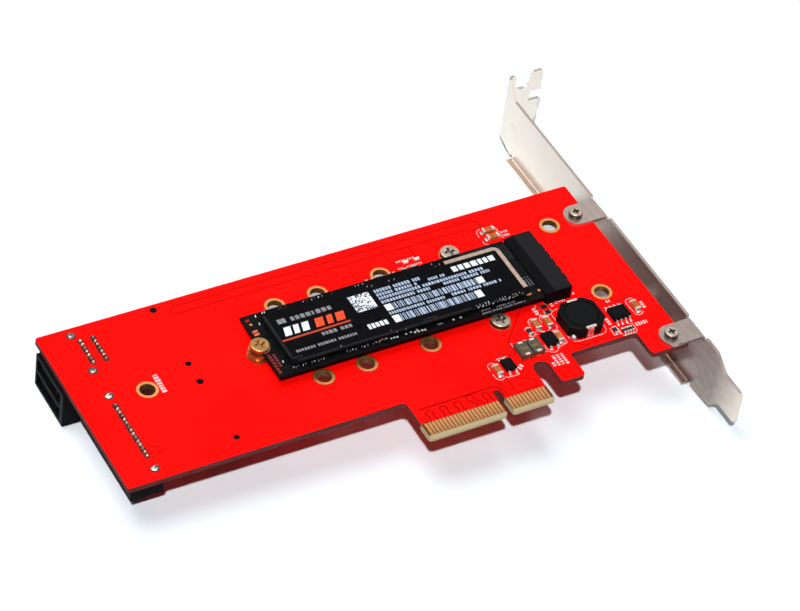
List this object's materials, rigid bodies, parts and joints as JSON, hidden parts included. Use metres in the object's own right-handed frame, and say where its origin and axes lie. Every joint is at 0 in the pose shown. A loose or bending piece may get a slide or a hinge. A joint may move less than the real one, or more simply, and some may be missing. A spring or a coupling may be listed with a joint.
{
  "type": "nvme adapter card",
  "caption": "Plug-in drive adapter card with a full-height bracket, one 80 mm drive fitted on its solder side, and drive sockets and cable connectors underneath.",
  "frame": {"origin": "middle of the key notch, on the line of the edge fingers' tips, on the face of the solder side", "axes": "+X along the card to the bracket, +Y from the fingers to the back edge, +Z out of the solder side"},
  "size_m": [0.1671, 0.12, 0.0234],
  "materials": {
    "solder_mask": "gloss solder mask over glass fibre",
    "gold": "gold flash",
    "bracket_steel": "nickel plated",
    "screw_steel": "bright nickel",
    "turned_brass": "turned",
    "black_plastic": "fine moulded texture",
    "drive_mask": "black solder mask",
    "chip_plastic": "matt moulding compound",
    "label_film": "printed satin film",
    "tin": "tinned",
    "ferrite": "pressed ferrite",
    "copper": "enamelled copper wire",
    "ceramic": "fired ceramic",
    "resistor_glaze": "glazed",
    "lamp_lens": "clear resin"
  },
  "bodies": {
    "root": {"circuit_board": "solder_mask", "edge_contacts": "gold", "hole_rings": "gold", "bracket": "bracket_steel", "bracket_screws": "screw_steel", "bracket_nuts": "screw_steel", "drive_board": "drive_mask", "drive_flash_chips": "chip_plastic", "drive_cache_chip": "chip_plastic", "drive_controller": "chip_plastic", "drive_label": "label_film", "drive_small_parts": "ceramic", "drive_socket_housing": "black_plastic", "drive_socket_contacts": "gold", "drive_standoff": "turned_brass", "drive_screw": "turned_brass", "low_socket_housings": "black_plastic", "low_socket_contacts": "gold", "low_standoffs": "turned_brass", "standoff_screws": "screw_steel", "data_connector_housing": "black_plastic", "data_connector_contacts": "gold", "power_connector_housing": "black_plastic", "power_connector_contacts": "gold", "connector_locks": "tin", "inductor_shield": "ferrite", "inductor_core": "ferrite", "inductor_winding": "copper", "inductor_clips": "tin", "large_capacitors": "ceramic", "large_capacitor_ends": "tin", "small_capacitors": "ceramic", "small_capacitor_ends": "tin", "resistors": "resistor_glaze", "resistor_ends": "tin", "resistor_array": "resistor_glaze", "resistor_array_ends": "tin", "status_lamps": "lamp_lens", "status_lamp_ends": "tin", "regulator": "chip_plastic", "regulator_leads": "tin", "power_switches": "chip_plastic", "power_switch_leads": "tin"}
  },
  "joints": []
}
